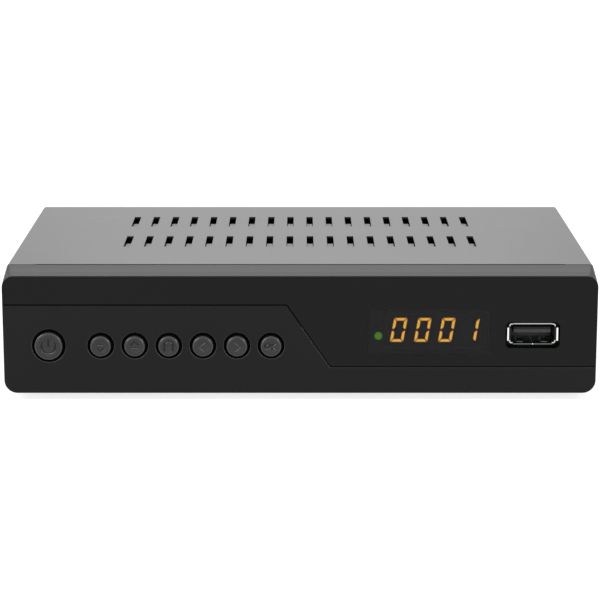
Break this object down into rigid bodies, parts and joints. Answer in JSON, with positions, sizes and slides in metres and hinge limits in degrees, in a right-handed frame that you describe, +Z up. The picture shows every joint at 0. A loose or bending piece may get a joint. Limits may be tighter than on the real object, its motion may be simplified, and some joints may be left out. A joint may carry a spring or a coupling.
{
  "type": "satellite receiver",
  "caption": "Flat black set-top satellite receiver: folded vented cover, moulded front with smoked lens, amber digits, round push buttons, front socket and rear connectors.",
  "frame": {"origin": "on the table, under the middle of the whole object's box", "axes": "+X the viewer's right along the long side, -Y out of the front panel, +Z up"},
  "size_m": [0.168, 0.1072, 0.0385],
  "materials": {
    "cover_paint": "satin black powder coat on steel",
    "tray_paint": "satin black powder coat on steel",
    "bezel_plastic": "fine grained black moulding",
    "smoked_lens": "smoked acrylic, gloss",
    "foot_rubber": "matt black rubber",
    "black_screw": "black phosphated steel",
    "zinc_screw": "zinc plated",
    "circuit_board": "green solder mask on laminate",
    "switch_plastic": "black moulding",
    "display_black": "black face, grey sides",
    "segment_amber": "amber light, lit",
    "segment_dark": "amber light, unlit",
    "led_green": "green light",
    "white_nylon": "natural nylon",
    "bright_steel": "nickel plated steel",
    "white_insulator": "light insulator",
    "dark_insulator": "dark grey insulator",
    "contact_metal": "gold flashed contacts",
    "chip_black": "epoxy package",
    "sink_aluminium": "extruded",
    "capacitor_sleeve": "printed sleeve",
    "tin_steel": "tin plated sheet",
    "nickel": "nickel plated brass",
    "socket_black": "black moulding",
    "orange_insulator": "orange moulding",
    "button_plastic": "satin black moulding",
    "plunger_plastic": "grey moulding"
  },
  "bodies": {
    "case": {"top_cover": "cover_paint", "base_tray": "tray_paint", "front_bezel": "bezel_plastic", "front_lens": "smoked_lens", "rubber_feet": "foot_rubber", "cover_screws": "black_screw", "front_board": "circuit_board", "front_board_screws": "zinc_screw", "switch_bodies": "switch_plastic", "display_module": "display_black", "lit_segments": "segment_amber", "dark_segments": "segment_dark", "status_led": "led_green", "led_spacer": "white_nylon", "ir_receiver": "switch_plastic", "usb_shell": "bright_steel", "usb_tongue": "dark_insulator", "usb_contacts": "contact_metal", "main_board": "circuit_board", "main_board_screws": "zinc_screw", "header_body": "switch_plastic", "header_pins": "contact_metal", "main_chip": "chip_black", "heat_sink": "sink_aluminium", "memory_chips": "chip_black", "crystal_can": "bright_steel", "capacitors": "capacitor_sleeve", "power_inductors": "chip_black", "tuner_can": "tin_steel", "lnb_connector": "nickel", "lnb_nut": "nickel", "lnb_insulator": "white_insulator", "av_socket_housing": "socket_black", "av_socket_contacts": "contact_metal", "video_port_shell": "bright_steel", "video_port_tongue": "socket_black", "coax_jack_body": "socket_black", "coax_jack_sleeve": "nickel", "coax_jack_insulator": "orange_insulator", "power_jack_body": "socket_black", "power_jack_pin": "nickel"},
    "power_button": {"power_button": "button_plastic", "power_plunger": "plunger_plastic"},
    "key_1": {"key_1": "button_plastic", "key_1_plunger": "plunger_plastic"},
    "key_2": {"key_2": "button_plastic", "key_2_plunger": "plunger_plastic"},
    "key_3": {"key_3": "button_plastic", "key_3_plunger": "plunger_plastic"},
    "key_4": {"key_4": "button_plastic", "key_4_plunger": "plunger_plastic"},
    "key_5": {"key_5": "button_plastic", "key_5_plunger": "plunger_plastic"},
    "key_6": {"key_6": "button_plastic", "key_6_plunger": "plunger_plastic"}
  },
  "joints": [
    {"name": "power_button_press", "type": "slide", "parent": "case", "child": "power_button", "axis": [0, 1, 0], "range_m": [0, 0.0005], "stiffness_N_per_m": 400},
    {"name": "key_1_press", "type": "slide", "parent": "case", "child": "key_1", "axis": [0, 1, 0], "range_m": [0, 0.0005], "stiffness_N_per_m": 400},
    {"name": "key_2_press", "type": "slide", "parent": "case", "child": "key_2", "axis": [0, 1, 0], "range_m": [0, 0.0005], "stiffness_N_per_m": 400},
    {"name": "key_3_press", "type": "slide", "parent": "case", "child": "key_3", "axis": [0, 1, 0], "range_m": [0, 0.0005], "stiffness_N_per_m": 400},
    {"name": "key_4_press", "type": "slide", "parent": "case", "child": "key_4", "axis": [0, 1, 0], "range_m": [0, 0.0005], "stiffness_N_per_m": 400},
    {"name": "key_5_press", "type": "slide", "parent": "case", "child": "key_5", "axis": [0, 1, 0], "range_m": [0, 0.0005], "stiffness_N_per_m": 400},
    {"name": "key_6_press", "type": "slide", "parent": "case", "child": "key_6", "axis": [0, 1, 0], "range_m": [0, 0.0005], "stiffness_N_per_m": 400}
  ]
}
